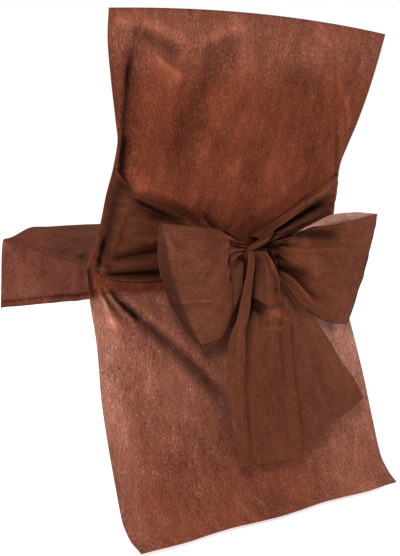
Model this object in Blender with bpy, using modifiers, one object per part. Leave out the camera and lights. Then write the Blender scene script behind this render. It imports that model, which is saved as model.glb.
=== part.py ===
"""A sheer fitted cover for a plain side chair, with a wide sash tied in a bow behind the back.

The chair itself is left out, so the cover is a hollow of thin cloth in the shape in which it hangs.
Heights are measured from the floor and depths from the waist of the chair's back: +X is the sitter's
left, +Y is behind the chair and +Z is up. The origin of the finished part is the point under the top
seam where the chair's top rail carries the cover.
"""

import math
from collections import namedtuple

import bpy

# Driving dimensions in metres.
CLOTH = 0.0015  # thickness of every sheet
GAP = 0.0005  # air between two pieces that touch or are sewn together
SEAM = CLOTH + GAP  # middle of one sheet to the middle of the next in a seam
RAIL = (0.0, 0.058, 0.8)  # where the chair's top rail meets the underside of the top seam

TOP = 0.824  # the corners of the back
CROWN = 0.013  # how far the top edge rises between its corners
CROWN_DEPTH = 0.08  # height over which that rise fades out
HALF_TOP = 0.275  # half the top seam's length
TUCK = 0.03  # height in which the pocket opens from the top seam to its full depth
WAIST = 0.43  # where the side seams end
HEM = 0.012  # the skirt's lower corners
HEM_DROP = 0.003  # how far the hem sags between them

FRONT_ROUNDING = 0.7  # the front's creases are softer than the rear's by this share
SKIRT_BEND = 0.2  # share of the skirt's width in which its sides bend toward its middle
SKIRT_WAVE = 0.003  # how far the skirt waves in and out
SKIRT_FREE = 0.06  # share of its width at each side edge that the folds don't reach
SEAT_DROOP = 0.25  # share of each half of the seat over which its side droops
SEAT_FLARE = 0.006  # how far the seat shifts toward the sitter's left at the waist
FLAP_START = 0.8  # run at which the front flap begins to hang
FLAP_WAVE = 0.003  # how far the flap waves in and out
LEAST_LIFT = 0.0045  # least distance from the back panel's middle to the sash's
SASH_INSET = 0.985  # the sash starts this share of the way out to the side seam
LOOP_TURN = 0.46  # share of a loop's strip before its end fold, and after it
LOOP_SAG = 0.3  # share of a loop's bulge by which its outline also sags
KNOT_RIDGE = 0.07  # height of the knot's pleats as a share of its size

PANEL_COLUMNS = 16  # faces across the front panel; the back panel has two more
BAND_CELLS = (12, 12)  # faces along and across each half of the sash
LOOP_CELLS = (26, 9)
TAIL_CELLS = (14, 12)
KNOT_CELLS = (16, 10)
BACK_COLOUR = (0.19, 0.055, 0.034)
SASH_COLOUR = (0.13, 0.04, 0.025)
KNOT_COLOUR = (0.11, 0.032, 0.02)

# The pocket, from its top corners down to the waist: where its side seams run, how far behind the
# origin they lie, where the chair's back creases the cloth, and how deep the pocket is on each side
# of the seams.
Pocket = namedtuple("Pocket", "z left right seam_y left_crease right_crease behind before")
POCKET = [
    Pocket(0.430, 0.264, -0.252, -0.054, 0.235, -0.225, 0.004, 0.030),
    Pocket(0.470, 0.253, -0.246, -0.041, 0.228, -0.222, 0.006, 0.032),
    Pocket(0.510, 0.249, -0.240, -0.028, 0.222, -0.218, 0.010, 0.034),
    Pocket(0.550, 0.245, -0.233, -0.017, 0.218, -0.214, 0.018, 0.034),
    Pocket(0.590, 0.238, -0.232, -0.006, 0.216, -0.211, 0.018, 0.034),
    Pocket(0.630, 0.235, -0.241, 0.005, 0.216, -0.205, 0.016, 0.034),
    Pocket(0.665, 0.243, -0.251, 0.015, 0.218, -0.197, 0.015, 0.034),
    Pocket(0.725, 0.258, -0.264, 0.031, 0.222, -0.177, 0.014, 0.032),
    Pocket(0.790, 0.271, -0.273, 0.048, 0.231, -0.157, 0.012, 0.026),
    Pocket(0.824, 0.273, -0.276, 0.057, 0.236, -0.150, 0.010, 0.022),
]
POCKET_HEIGHTS = [0.43, 0.45, 0.47, 0.495, 0.515, 0.535, 0.56, 0.59, 0.63, 0.665, 0.71, 0.755, 0.79]
POCKET_HEIGHTS += [0.812, TOP]

# The skirt, from the waist down to the hem: its side edges and how far behind the origin it hangs.
Skirt = namedtuple("Skirt", "z left right edge_y middle_y")
SKIRT = [
    Skirt(0.012, 0.268, -0.270, 0.128, 0.124),
    Skirt(0.035, 0.283, -0.256, 0.118, 0.113),
    Skirt(0.065, 0.289, -0.249, 0.104, 0.100),
    Skirt(0.130, 0.288, -0.253, 0.075, 0.073),
    Skirt(0.215, 0.284, -0.260, 0.036, 0.040),
    Skirt(0.320, 0.271, -0.262, -0.011, 0.000),
    Skirt(0.380, 0.268, -0.258, -0.038, -0.030),
    Skirt(0.430, 0.264, -0.252, -0.054, -0.050),
]
SKIRT_HEIGHTS = [HEM, 0.024, 0.04, 0.065, 0.095, 0.13, 0.17, 0.21, 0.245, 0.275, 0.3, 0.325, 0.35]
SKIRT_HEIGHTS += [0.37, 0.39, 0.41]

# Folds: straight ridges (height above zero) or troughs (below zero) in a panel, from one end to the
# other, each with the half-width of its slope.
Fold = namedtuple("Fold", "x0 z0 x1 z1 width height")
BACK_FOLDS = [
    Fold(0.255, 0.810, 0.130, 0.755, 0.014, 0.006),
    Fold(0.225, 0.800, 0.175, 0.730, 0.020, -0.007),
    Fold(0.190, 0.735, 0.150, 0.765, 0.010, 0.004),
    Fold(-0.235, 0.700, -0.205, 0.640, 0.014, 0.005),
    Fold(0.210, 0.575, 0.070, 0.530, 0.018, 0.009),
    Fold(-0.060, 0.500, -0.190, 0.600, 0.016, 0.006),
]
SKIRT_FOLDS = [
    Fold(0.236, 0.400, 0.150, 0.285, 0.016, 0.008),
    Fold(0.237, 0.370, 0.047, 0.198, 0.020, -0.014),
    Fold(0.190, 0.395, 0.100, 0.300, 0.016, 0.009),
    Fold(-0.235, 0.400, -0.150, 0.260, 0.018, 0.008),
    Fold(-0.205, 0.395, -0.060, 0.300, 0.018, -0.008),
]

# The sash, one band from each side seam to the knot: its two edges and how far it stands off the back.
Band = namedtuple("Band", "x top bottom lift")
SASH_LEFT = [
    Band(0.247, 0.590, 0.434, 0.0045),
    Band(0.228, 0.568, 0.415, 0.008),
    Band(0.194, 0.545, 0.405, 0.012),
    Band(0.150, 0.530, 0.402, 0.014),
    Band(0.090, 0.502, 0.408, 0.016),
    Band(0.030, 0.476, 0.425, 0.021),
    Band(0.002, 0.466, 0.438, 0.025),
]
SASH_RIGHT = [
    Band(-0.234, 0.578, 0.438, 0.0045),
    Band(-0.200, 0.568, 0.425, 0.010),
    Band(-0.150, 0.534, 0.425, 0.014),
    Band(-0.110, 0.498, 0.430, 0.018),
    Band(-0.075, 0.470, 0.436, 0.025),
]
# Lengthwise pleats: how far across the piece each lies, its half-width and its height.
Pleat = namedtuple("Pleat", "across half_width height")
SASH_PLEATS = [
    Pleat(0.10, 0.07, 0.006),
    Pleat(0.22, 0.05, -0.005),
    Pleat(0.38, 0.08, 0.005),
    Pleat(0.62, 0.10, 0.004),
    Pleat(0.90, 0.07, 0.006),
]

# Each loop of the bow, from the knot out to its end fold: the outer layer's upper and lower edges, the
# depth of its middle, how far each layer stands from that, and how far the outline bulges outwards.
Loop = namedtuple("Loop", "reach top_x top_z low_x low_z y half_gap bulge")
LOOP_LEFT = [
    Loop(0.00, -0.001, 0.462, -0.001, 0.444, 0.014, 0.003, 0.000),
    Loop(0.13, 0.024, 0.474, 0.020, 0.438, 0.020, 0.007, 0.002),
    Loop(0.28, 0.050, 0.486, 0.037, 0.424, 0.030, 0.010, 0.004),
    Loop(0.46, 0.085, 0.493, 0.043, 0.388, 0.040, 0.011, 0.006),
    Loop(0.66, 0.120, 0.498, 0.050, 0.344, 0.045, 0.011, 0.009),
    Loop(0.84, 0.150, 0.502, 0.070, 0.309, 0.046, 0.011, 0.012),
    Loop(1.00, 0.176, 0.506, 0.106, 0.304, 0.045, 0.011, 0.014),
]
LOOP_RIGHT = [
    Loop(0.00, -0.066, 0.460, -0.066, 0.440, 0.014, 0.003, 0.000),
    Loop(0.17, -0.096, 0.466, -0.080, 0.402, 0.018, 0.008, 0.000),
    Loop(0.34, -0.137, 0.480, -0.098, 0.366, 0.024, 0.012, 0.002),
    Loop(0.58, -0.192, 0.488, -0.142, 0.326, 0.030, 0.014, 0.004),
    Loop(0.80, -0.240, 0.495, -0.190, 0.304, 0.032, 0.012, 0.002),
    Loop(1.00, -0.293, 0.501, -0.224, 0.298, 0.032, 0.006, 0.000),
]

# The seat and the front flap, from the waist to the flap's hem: the drooping side edges, the middle
# and half the width.
Seat = namedtuple("Seat", "run edge_y edge_z middle_y middle_z half")
SEAT = [
    Seat(0.00, -0.056, 0.430, -0.082, 0.468, 0.258),
    Seat(0.04, -0.078, 0.430, -0.100, 0.459, 0.257),
    Seat(0.12, -0.120, 0.430, -0.140, 0.458, 0.255),
    Seat(0.35, -0.240, 0.431, -0.250, 0.458, 0.254),
    Seat(0.58, -0.370, 0.438, -0.370, 0.461, 0.256),
    Seat(0.72, -0.448, 0.443, -0.448, 0.464, 0.257),
    Seat(0.76, -0.459, 0.437, -0.460, 0.456, 0.258),
    Seat(0.80, -0.461, 0.415, -0.463, 0.430, 0.260),
    Seat(1.00, -0.464, 0.302, -0.468, 0.300, 0.266),
]
SEAT_RUNS = [0.02, 0.05, 0.1, 0.18, 0.28, 0.38, 0.48, 0.58, 0.66, 0.72, 0.74, 0.76, 0.8, 0.86, 0.93, 1.0]

# Each tail, from the knot down to its cut end: its two edges and its depth.
Tail = namedtuple("Tail", "run left_x left_z right_x right_z y")
TAIL_FRONT = [
    Tail(0.00, -0.020, 0.429, -0.048, 0.429, 0.026),
    Tail(0.14, 0.020, 0.390, -0.050, 0.388, 0.038),
    Tail(0.28, 0.042, 0.345, -0.060, 0.340, 0.052),
    Tail(0.42, 0.066, 0.300, -0.064, 0.292, 0.064),
    Tail(0.56, 0.074, 0.250, -0.062, 0.240, 0.075),
    Tail(0.78, 0.079, 0.175, -0.058, 0.166, 0.098),
    Tail(1.00, 0.079, 0.108, -0.055, 0.099, 0.118),
]
TAIL_BACK = [
    Tail(0.00, -0.030, 0.428, -0.055, 0.428, 0.008),
    Tail(0.20, -0.024, 0.372, -0.106, 0.362, 0.026),
    Tail(0.42, -0.027, 0.300, -0.150, 0.300, 0.044),
    Tail(0.64, -0.031, 0.225, -0.184, 0.240, 0.062),
    Tail(0.84, -0.037, 0.150, -0.207, 0.200, 0.082),
    Tail(1.00, -0.043, 0.090, -0.206, 0.176, 0.102),
]
TAIL_FOLDS = [
    Pleat(0.12, 0.06, -0.008),
    Pleat(0.26, 0.08, 0.007),
    Pleat(0.52, 0.10, -0.005),
    Pleat(0.80, 0.09, 0.006),
]

KNOT_SIZE = (0.058, 0.040, 0.044)
KNOT_CENTRE = (-0.034, 0.008, 0.4525)
KNOT_PLEATS = 5


def smooth_column(table, column, at):
    """The value of a column at a key (the table's first column), on a curve with no overshoot."""
    keys = [row[0] for row in table]
    values = [getattr(row, column) for row in table]
    if keys[0] > keys[-1]:
        keys.reverse()
        values.reverse()
    if at <= keys[0]:
        return values[0]
    if at >= keys[-1]:
        return values[-1]
    slopes = [(b - a) / (q - p) for p, q, a, b in zip(keys, keys[1:], values, values[1:])]
    i = max(n for n in range(len(slopes)) if keys[n] <= at)

    def tangent(n):
        if n == 0:
            return slopes[0]
        if n == len(slopes):
            return slopes[-1]
        before, after = slopes[n - 1], slopes[n]
        return 0.0 if before * after <= 0 else 2 * before * after / (before + after)

    step = keys[i + 1] - keys[i]
    t = (at - keys[i]) / step
    curve = (2 * t**3 - 3 * t**2 + 1) * values[i] + (3 * t**2 - 2 * t**3) * values[i + 1]
    return curve + step * ((t**3 - 2 * t**2 + t) * tangent(i) + (t**3 - t**2) * tangent(i + 1))


def mix(a, b, t):
    return a + (b - a) * t


def ease(t):
    t = min(1.0, max(0.0, t))
    return t * t * (3 - 2 * t)


def fold_offset(folds, x, z):
    """How far the folds lift the cloth at one place."""
    lift = 0.0
    for fold in folds:
        run_x, run_z = fold.x1 - fold.x0, fold.z1 - fold.z0
        length = math.hypot(run_x, run_z)
        along = ((x - fold.x0) * run_x + (z - fold.z0) * run_z) / length**2
        across = ((x - fold.x0) * run_z - (z - fold.z0) * run_x) / length
        faded = ease((along + 0.15) / 0.3) * ease((1.15 - along) / 0.5)
        lift += fold.height * faded * math.exp(-((across / fold.width) ** 2))
    return lift


def pleat_offset(pleats, across):
    return sum(p.height * math.exp(-(((across - p.across) / p.half_width) ** 2)) for p in pleats)


def crown(x, z):
    """The rise of the top edge between its corners."""
    side = x / HALF_TOP
    return CROWN * (1 - side * side) * ease((z - TOP + CROWN_DEPTH) / CROWN_DEPTH)


def pocket_point(z, across, side):
    """A point of the pocket; across runs from the right seam, 0, to the left one, 1."""

    def column(name):
        return smooth_column(POCKET, name, z)

    left, right = column("left"), column("right")
    x = mix(right, left, across)
    inward = (left - x) / (left - column("left_crease"))
    if x < 0.5 * (left + right):
        inward = (x - right) / (column("right_crease") - right)
    edge = ease(min(inward, 1.0)) if side > 0 else ease(min(inward * FRONT_ROUNDING, 1.0))
    depth = column("behind") if side > 0 else column("before")
    depth *= edge * ease((TOP - z) / TUCK)
    if side > 0:
        depth += fold_offset(BACK_FOLDS, x, z) * edge * ease((TOP - z) / TUCK)
    y = column("seam_y") + side * (SEAM / 2 + depth)
    return (x, y, z + crown(x, z))


def skirt_point(z, across):
    def column(name):
        return smooth_column(SKIRT, name, z)

    left, right = column("left"), column("right")
    x = mix(right, left, across)
    middle = ease(min(across, 1 - across) / SKIRT_BEND)
    waves = SKIRT_WAVE * math.sin(5 * across * math.pi) * ease((WAIST - z) / 0.1)
    y = mix(column("edge_y"), column("middle_y"), middle) + waves * middle
    y += fold_offset(SKIRT_FOLDS, x, z) * ease(min(across, 1 - across) / SKIRT_FREE)
    hem_drop = HEM_DROP * middle * ease((0.1 - z) / 0.08)
    return (x, y + SEAM / 2, z - hem_drop)


def back_surface(x, z):
    """How far behind the origin the back panel's middle lies at one place."""
    left, right = (smooth_column(POCKET, name, max(z, WAIST)) for name in ("left", "right"))
    across = min(1.0, max(0.0, (x - right) / (left - right)))
    if z >= WAIST:
        return pocket_point(z, across, 1)[1]
    return skirt_point(z, across)[1]


def steps(count):
    """Even steps from 0 to 1."""
    return [i / count for i in range(count + 1)]


def sheet(name, rows, colour):
    """One piece of cloth: a grid of points with the cloth's thickness round it."""
    width = len(rows[0])
    points = [tuple(c - o for c, o in zip(point, RAIL)) for row in rows for point in row]
    faces = [
        (i * width + j, i * width + j + 1, (i + 1) * width + j + 1, (i + 1) * width + j)
        for i in range(len(rows) - 1)
        for j in range(width - 1)
    ]
    mesh = bpy.data.meshes.new(name)
    mesh.from_pydata(points, [], faces)
    mesh.shade_smooth()
    cloth = bpy.data.objects.new(name, mesh)
    cover.objects.link(cloth)
    solid = cloth.modifiers.new("cloth thickness", "SOLIDIFY")
    solid.thickness = CLOTH
    solid.offset = 0
    cloth.data.materials.append(finish(name, colour))
    return cloth


def finish(name, colour):
    material = bpy.data.materials.new(name)
    material.use_nodes = True
    shader = material.node_tree.nodes["Principled BSDF"]
    shader.inputs["Base Color"].default_value = (*colour, 1)
    shader.inputs["Roughness"].default_value = 0.85
    shader.inputs["Metallic"].default_value = 0
    return material


def seat_point(run, across):
    """A point of the seat and front flap; run goes from the waist, 0, to the flap's hem, 1."""
    edge_y, edge_z, middle_y, middle_z, half = (
        smooth_column(SEAT, name, run) for name in Seat._fields[1:]
    )
    side = 2 * across - 1
    flat = ease((1 - abs(side)) / SEAT_DROOP)
    x = mix(-half, half, across) + SEAT_FLARE * (1 - ease(run * 4))
    ripple = FLAP_WAVE * math.sin(side * 7 + 3 * run) * ease((run - FLAP_START) / 0.1)
    return (x, mix(edge_y, middle_y, flat) - ripple, mix(edge_z, middle_z, flat))


def make_front_panel():
    """The flap, the seat and the front of the pocket, in one piece."""
    columns = steps(PANEL_COLUMNS)
    rows = [[pocket_point(z, a, -1) for a in columns] for z in reversed(POCKET_HEIGHTS)]
    rows += [[seat_point(run, a) for a in columns] for run in SEAT_RUNS]
    return sheet("front_panel", rows, BACK_COLOUR)


def make_back_panel():
    """The back of the pocket and the long skirt below it, in one piece."""
    columns = steps(PANEL_COLUMNS + 2)
    rows = [[pocket_point(z, a, 1) for a in columns] for z in reversed(POCKET_HEIGHTS)]
    rows += [[skirt_point(z, a) for a in columns] for z in reversed(SKIRT_HEIGHTS)]
    return sheet("back_panel", rows, BACK_COLOUR)


def make_band(name, table):
    """One half of the sash, laid over the back from its side seam to the knot."""
    start, end = table[0].x, table[-1].x
    rows = []
    for along in steps(BAND_CELLS[0]):
        straight_x = mix(start, end, along)
        top, bottom, lift = (smooth_column(table, field, straight_x) for field in Band._fields[1:])
        free = ease(along / 0.25) * ease((1 - along) / 0.15)
        row = []
        for across in steps(BAND_CELLS[1]):
            z = mix(bottom, top, across)
            seam_x = smooth_column(POCKET, "left" if start > 0 else "right", z)
            x = straight_x + (seam_x * SASH_INSET - start) * (1 - along) ** 3
            pleats = pleat_offset(SASH_PLEATS, across) * free
            row.append((x, back_surface(x, z) + max(lift + pleats, LEAST_LIFT), z))
        rows.append(row)
    return sheet(name, rows, SASH_COLOUR)


def make_loop(name, table):
    """One loop of the bow: a strip that runs out from the knot, turns at its end fold and comes back."""
    rows = []
    for along in steps(LOOP_CELLS[0]):
        out = min(along, 1 - along) / LOOP_TURN
        reach = min(out, 1.0)
        top_x, top_z, low_x, low_z, y, half_gap, bulge = (
            smooth_column(table, field, reach) for field in Loop._fields[1:]
        )
        row = []
        for across in steps(LOOP_CELLS[1]):
            swell = 4 * across * (1 - across)
            x = mix(low_x, top_x, across) + math.copysign(bulge * swell, table[-1].top_x)
            z = mix(low_z, top_z, across) - bulge * swell * LOOP_SAG
            side = half_gap * (1 + 0.5 * swell)
            if out > 1:
                angle = (along - LOOP_TURN) / (1 - 2 * LOOP_TURN) * math.pi
                x += math.copysign(side * math.sin(angle), table[-1].top_x)
                offset = side * math.cos(angle)
            else:
                offset = side if along < 0.5 else -side
            row.append((x, y + offset, z))
        rows.append(row)
    return sheet(name, rows, SASH_COLOUR)


def make_tail(name, table, folds):
    """One free end of the bow, hanging from the knot to its cut end."""
    rows = []
    for run in steps(TAIL_CELLS[0]):
        left_x, left_z, right_x, right_z, y = (
            smooth_column(table, field, run) for field in Tail._fields[1:]
        )
        spread = ease(run / 0.3)
        row = []
        for across in steps(TAIL_CELLS[1]):
            lift = pleat_offset(folds, across) * spread
            row.append((mix(left_x, right_x, across), y + lift, mix(left_z, right_z, across)))
        rows.append(row)
    return sheet(name, rows, SASH_COLOUR)


def make_knot():
    """The crossing turn of cloth that holds the bow, pleated lengthwise."""
    segments, rings = KNOT_CELLS
    bpy.ops.mesh.primitive_uv_sphere_add(segments=segments, ring_count=rings, radius=0.5)
    knot = bpy.context.object
    knot.name = "knot"
    knot.data.name = "knot"
    for vertex in knot.data.vertices:
        x, y, z = vertex.co
        pleat = math.cos(2 * math.pi * KNOT_PLEATS * (x + 0.5)) * (1 - 4 * z * z)
        ridge = 1 + KNOT_RIDGE * pleat
        shape = (x * ridge, y * ridge, z)
        placed = zip(shape, KNOT_SIZE, KNOT_CENTRE, RAIL)
        vertex.co = [size * c + centre - rail for c, size, centre, rail in placed]
    knot.data.shade_smooth()
    knot.data.materials.append(finish("knot", KNOT_COLOUR))
    for collection in list(knot.users_collection):
        collection.objects.unlink(knot)
    cover.objects.link(knot)


for old in list(bpy.data.objects):
    bpy.data.objects.remove(old, do_unlink=True)
cover = bpy.data.collections.new("chair cover with sash")
bpy.context.scene.collection.children.link(cover)

make_front_panel()
make_back_panel()
make_band("sash_left", SASH_LEFT)
make_band("sash_right", SASH_RIGHT)
make_loop("loop_left", LOOP_LEFT)
make_loop("loop_right", LOOP_RIGHT)
make_tail("tail_front", TAIL_FRONT, TAIL_FOLDS)
make_tail("tail_back", TAIL_BACK, TAIL_FOLDS)
make_knot()
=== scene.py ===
"""The looks of a sheer chair cover whose wide sash is tied in a bow behind the chair's back.

Every piece is a thin sheet laid on the folds of its solid in the frame. Shapes are worked out in the
chair's own axes: +X is the sitter's left, +Y is behind the chair, heights start at the floor and depths
at the waist. The finished points are then moved to the frame's origin under the top seam.
"""

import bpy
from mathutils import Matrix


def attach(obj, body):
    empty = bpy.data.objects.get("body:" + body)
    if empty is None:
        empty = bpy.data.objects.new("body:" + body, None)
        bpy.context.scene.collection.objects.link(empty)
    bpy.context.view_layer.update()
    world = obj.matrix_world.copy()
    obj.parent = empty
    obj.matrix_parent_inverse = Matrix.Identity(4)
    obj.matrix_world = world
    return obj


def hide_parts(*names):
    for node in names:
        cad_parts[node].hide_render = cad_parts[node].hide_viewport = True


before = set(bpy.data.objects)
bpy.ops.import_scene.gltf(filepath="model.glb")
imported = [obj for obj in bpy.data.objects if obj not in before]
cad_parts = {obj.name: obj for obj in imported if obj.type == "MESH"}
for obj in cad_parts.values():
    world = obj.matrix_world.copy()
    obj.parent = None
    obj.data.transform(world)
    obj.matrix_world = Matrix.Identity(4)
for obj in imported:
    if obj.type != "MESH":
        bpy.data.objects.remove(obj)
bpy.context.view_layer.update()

import math
from collections import namedtuple

import bpy
import numpy as np
from mathutils import Vector

RAIL = np.array((0.0, 0.058, 0.8))  # the frame's origin, in the chair's own axes
CLOTH = 0.0007  # thickness of the fabric
SEAM = 0.0014  # middle of one sheet to the middle of the next in a seam
TOP = 0.824  # the corners of the back
CROWN = 0.013  # how far the top edge rises between its corners
CROWN_DEPTH = 0.08
TUCK = 0.03  # height in which the pocket opens from the top seam
WAIST = 0.43  # where the side seams end
HEM = 0.012  # the skirt's lower corners
HEM_DROP = 0.003
HEM_WIDTH = 0.008  # cloth turned up inside each hem
HEM_TURN = 0.0011  # from a hem's outer layer to its inner one
CELL = 0.0042  # about one face of the panels' grids
STITCH_RISE = 0.0001  # how far a stitch's middle stands off the cloth
STITCH_SEED = 4
WAIST_SHARE = 0.47  # share of the back panel's length that lies above the waist

PANEL_WIDTH = 0.545
FRONT_WIDTH = 0.53
FRONT_CELL = 1.5 * CELL
SEAT_RUN = 0.62  # from the waist over the seat and down the flap
# Painted shade laid over the top of the seat.
SEAT_SHADE = 0.16
BAND_WIDTH = 0.16
BACKED = 0.97  # how much of the sash's and ends' cloth has more cloth behind it
FRONT_GATHER = 0.005  # depth of the pleats at the top of each hanging end
BACK_GATHER = 0.011
# The folds' shade is painted into the colour; this is the darkest that painted shade goes.
LEVEL_RISE = 0.001  # a rear layer that rises less than this stays hidden behind the front one
LEAST_TONE = 0.07  # the darkest that a fold makes the cloth
WORN_COLOUR = (0.60, 0.36, 0.28, 1)  # the pale bloom of the thin spots

EYE = (0.8682, 1.1717, -0.1778)
HEADING, DIP = -0.5701, 0.1474  # the camera's turn from -Y and its tilt below the horizon, in radians
LENS, SENSOR = 56.49, 36

Pocket = namedtuple("Pocket", "z left right seam_y left_crease right_crease behind before")
POCKET = [
    Pocket(0.430, 0.264, -0.252, -0.054, 0.235, -0.225, 0.004, 0.030),
    Pocket(0.470, 0.253, -0.246, -0.041, 0.228, -0.222, 0.006, 0.032),
    Pocket(0.510, 0.249, -0.240, -0.028, 0.222, -0.218, 0.010, 0.034),
    Pocket(0.550, 0.245, -0.233, -0.017, 0.218, -0.214, 0.018, 0.034),
    Pocket(0.590, 0.238, -0.232, -0.006, 0.216, -0.211, 0.018, 0.034),
    Pocket(0.630, 0.235, -0.241, 0.005, 0.216, -0.205, 0.016, 0.034),
    Pocket(0.665, 0.243, -0.251, 0.015, 0.218, -0.197, 0.015, 0.034),
    Pocket(0.725, 0.258, -0.264, 0.031, 0.222, -0.177, 0.014, 0.032),
    Pocket(0.790, 0.271, -0.273, 0.048, 0.231, -0.157, 0.012, 0.026),
    Pocket(0.824, 0.273, -0.276, 0.057, 0.236, -0.150, 0.010, 0.022),
]
Skirt = namedtuple("Skirt", "z left right edge_y middle_y")
SKIRT = [
    Skirt(0.012, 0.268, -0.270, 0.128, 0.124),
    Skirt(0.035, 0.283, -0.256, 0.118, 0.113),
    Skirt(0.065, 0.289, -0.249, 0.104, 0.100),
    Skirt(0.130, 0.288, -0.253, 0.075, 0.073),
    Skirt(0.215, 0.284, -0.260, 0.036, 0.040),
    Skirt(0.320, 0.271, -0.262, -0.011, 0.000),
    Skirt(0.380, 0.268, -0.258, -0.038, -0.030),
    Skirt(0.430, 0.264, -0.252, -0.054, -0.050),
]
# The seat and the front flap, from the waist to the flap's hem.
Seat = namedtuple("Seat", "run edge_y edge_z middle_y middle_z half")
SEAT = [
    Seat(0.00, -0.056, 0.430, -0.082, 0.468, 0.258),
    Seat(0.04, -0.078, 0.430, -0.100, 0.459, 0.257),
    Seat(0.12, -0.120, 0.430, -0.140, 0.458, 0.255),
    Seat(0.35, -0.240, 0.431, -0.250, 0.458, 0.254),
    Seat(0.58, -0.370, 0.438, -0.370, 0.461, 0.256),
    Seat(0.72, -0.448, 0.443, -0.448, 0.464, 0.257),
    Seat(0.76, -0.459, 0.437, -0.460, 0.456, 0.258),
    Seat(0.80, -0.461, 0.415, -0.463, 0.430, 0.260),
    Seat(1.00, -0.464, 0.302, -0.468, 0.300, 0.266),
]
# One half of the sash, from its side seam to the knot: its edges and how far it stands off the back.
Band = namedtuple("Band", "x top bottom lift")
SASH_LEFT = [
    Band(0.247, 0.590, 0.434, 0.003),
    Band(0.228, 0.568, 0.415, 0.006),
    Band(0.194, 0.545, 0.405, 0.010),
    Band(0.150, 0.530, 0.402, 0.012),
    Band(0.090, 0.502, 0.408, 0.016),
    Band(0.030, 0.476, 0.425, 0.021),
    Band(0.002, 0.466, 0.438, 0.026),
    Band(-0.015, 0.462, 0.440, 0.030),
]
SASH_RIGHT = [
    Band(-0.234, 0.578, 0.438, 0.003),
    Band(-0.200, 0.568, 0.425, 0.009),
    Band(-0.150, 0.534, 0.425, 0.014),
    Band(-0.110, 0.504, 0.430, 0.020),
    Band(-0.075, 0.484, 0.438, 0.028),
    Band(-0.046, 0.468, 0.448, 0.034),
]
# A loop of the bow, from the knot out to its end fold: the outer layer's edges, the depth of its middle,
# how far each layer stands from that, how far the outline bulges, how far the rear layer's top edge
# rises and how far its low edge slips toward the tails.
Loop = namedtuple("Loop", "reach top_x top_z low_x low_z y half_gap bulge rear_rise rear_slip")
LOOP_LEFT = [
    Loop(0.00, -0.001, 0.462, -0.001, 0.444, 0.014, 0.004, 0.000, 0.000, 0.000),
    Loop(0.13, 0.024, 0.474, 0.020, 0.438, 0.020, 0.008, 0.002, 0.000, 0.006),
    Loop(0.28, 0.050, 0.486, 0.039, 0.426, 0.030, 0.013, 0.004, 0.000, 0.030),
    Loop(0.46, 0.085, 0.493, 0.044, 0.388, 0.040, 0.015, 0.006, 0.000, 0.026),
    Loop(0.66, 0.120, 0.498, 0.050, 0.344, 0.045, 0.015, 0.009, 0.000, 0.008),
    Loop(0.84, 0.151, 0.502, 0.070, 0.309, 0.046, 0.015, 0.012, 0.000, 0.000),
    Loop(1.00, 0.180, 0.506, 0.106, 0.302, 0.045, 0.015, 0.014, 0.000, 0.000),
]
LOOP_RIGHT = [
    Loop(0.00, -0.066, 0.460, -0.066, 0.440, 0.014, 0.003, 0.000, 0.000, 0.000),
    Loop(0.17, -0.096, 0.466, -0.080, 0.402, 0.018, 0.008, 0.000, 0.000, 0.000),
    Loop(0.34, -0.137, 0.480, -0.098, 0.366, 0.024, 0.012, 0.002, 0.006, 0.000),
    Loop(0.58, -0.192, 0.486, -0.142, 0.326, 0.030, 0.012, 0.004, 0.018, 0.000),
    Loop(0.80, -0.240, 0.493, -0.190, 0.304, 0.032, 0.010, 0.002, 0.013, 0.000),
    Loop(1.00, -0.293, 0.501, -0.224, 0.298, 0.032, 0.006, 0.000, 0.000, 0.000),
]
LOOP_TURN = 0.46  # share of a loop's strip before its end fold, and after it
# A tail, from the knot down to its cut end.
Tail = namedtuple("Tail", "run left_x left_z right_x right_z y")
TAIL_FRONT = [
    Tail(0.00, 0.005, 0.450, -0.036, 0.447, 0.032),
    Tail(0.06, 0.012, 0.424, -0.042, 0.422, 0.040),
    Tail(0.14, 0.023, 0.390, -0.050, 0.388, 0.046),
    Tail(0.28, 0.042, 0.345, -0.060, 0.340, 0.056),
    Tail(0.42, 0.066, 0.300, -0.064, 0.292, 0.064),
    Tail(0.56, 0.074, 0.250, -0.062, 0.240, 0.075),
    Tail(0.78, 0.079, 0.175, -0.058, 0.166, 0.098),
    Tail(1.00, 0.079, 0.108, -0.055, 0.099, 0.118),
]
TAIL_BACK = [
    Tail(0.00, -0.030, 0.434, -0.055, 0.434, 0.010),
    Tail(0.20, -0.024, 0.372, -0.106, 0.362, 0.026),
    Tail(0.42, -0.027, 0.300, -0.150, 0.300, 0.044),
    Tail(0.64, -0.031, 0.225, -0.184, 0.240, 0.062),
    Tail(0.84, -0.037, 0.150, -0.207, 0.200, 0.082),
    Tail(1.00, -0.043, 0.090, -0.206, 0.176, 0.102),
]
# The strip that crosses the middle of the bow: its share, its place and its radius.
KNOT_PATH = [
    (0.00, -0.066, 0.004, 0.477, 0.0050),
    (0.30, -0.040, 0.022, 0.466, 0.0062),
    (0.60, -0.016, 0.030, 0.459, 0.0055),
    (0.82, -0.002, 0.028, 0.451, 0.0048),
    (1.00, 0.002, 0.022, 0.438, 0.0045),
]
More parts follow.
